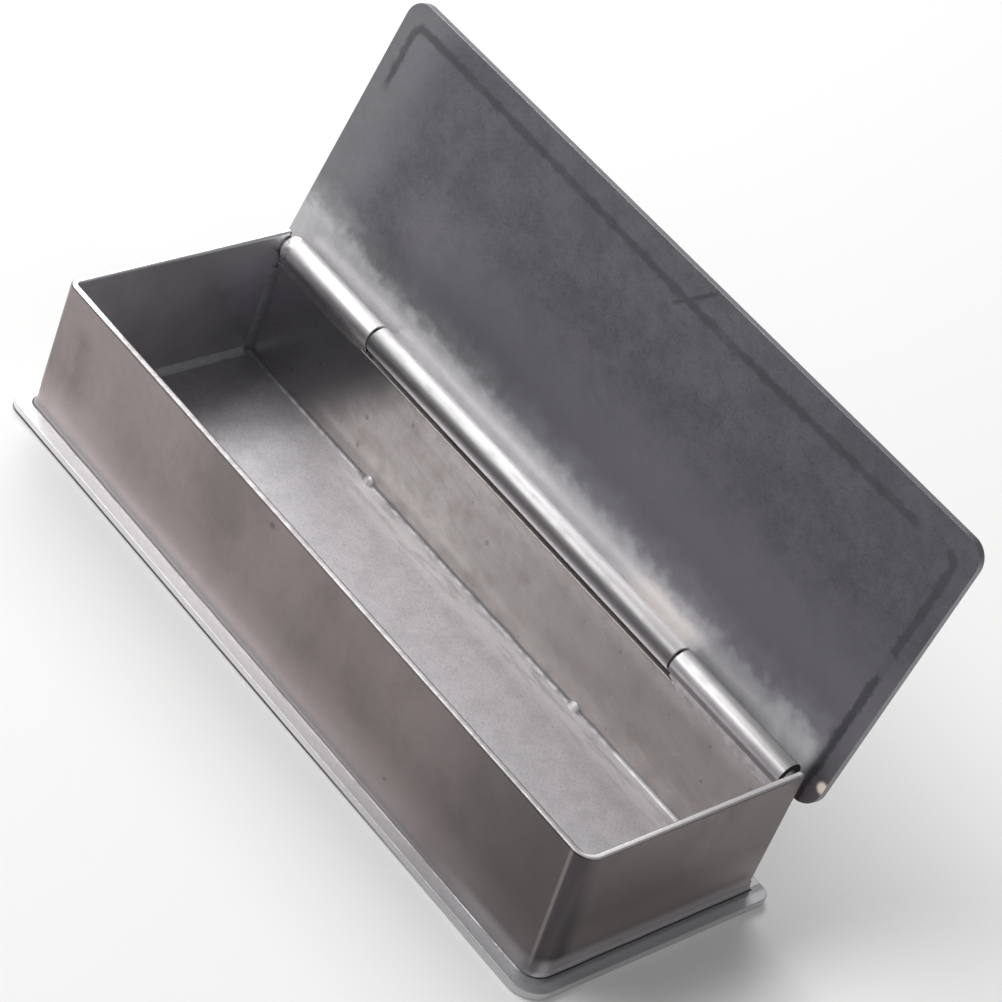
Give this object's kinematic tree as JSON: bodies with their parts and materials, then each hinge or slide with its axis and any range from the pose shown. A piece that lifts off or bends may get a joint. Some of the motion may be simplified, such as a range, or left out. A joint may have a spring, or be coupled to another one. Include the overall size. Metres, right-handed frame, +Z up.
{
  "type": "toothpick box",
  "caption": "Small oblong sheet-metal box with a flanged base and a flat overhanging lid on a tube hinge along its back edge, for holding toothpicks.",
  "frame": {"origin": "centre of the base plate's underside", "axes": "+Z up, +X along the box's length to the right seen from the front, +Y from the front wall to the hinge"},
  "size_m": [0.073, 0.033, 0.037],
  "materials": {
    "sheet": "satin grey sheet, slightly warm, with handling smudges",
    "lid": "satin grey sheet, darker inside, with a print of the rim",
    "tube": "bright drawn tube",
    "solder": "smooth solder, uneven edge"
  },
  "bodies": {
    "box": {"base_plate": "sheet", "wall_band": "sheet", "back_wall": "sheet", "floor_seam": "solder", "foot_seam": "solder", "left_corner_seam": "solder", "right_corner_seam": "solder", "left_knuckle": "tube", "right_knuckle": "tube", "left_knuckle_solder": "solder", "right_knuckle_solder": "solder", "hinge_pin": "tube"},
    "lid": {"lid_plate": "lid", "lid_knuckle": "tube", "lid_knuckle_solder": "solder"}
  },
  "joints": [
    {"name": "lid_hinge", "type": "hinge", "parent": "box", "child": "lid", "pos_m": [0, 0.0118, 0.0128], "axis": [-1, 0, 0], "range_deg": [-103, 19]}
  ]
}
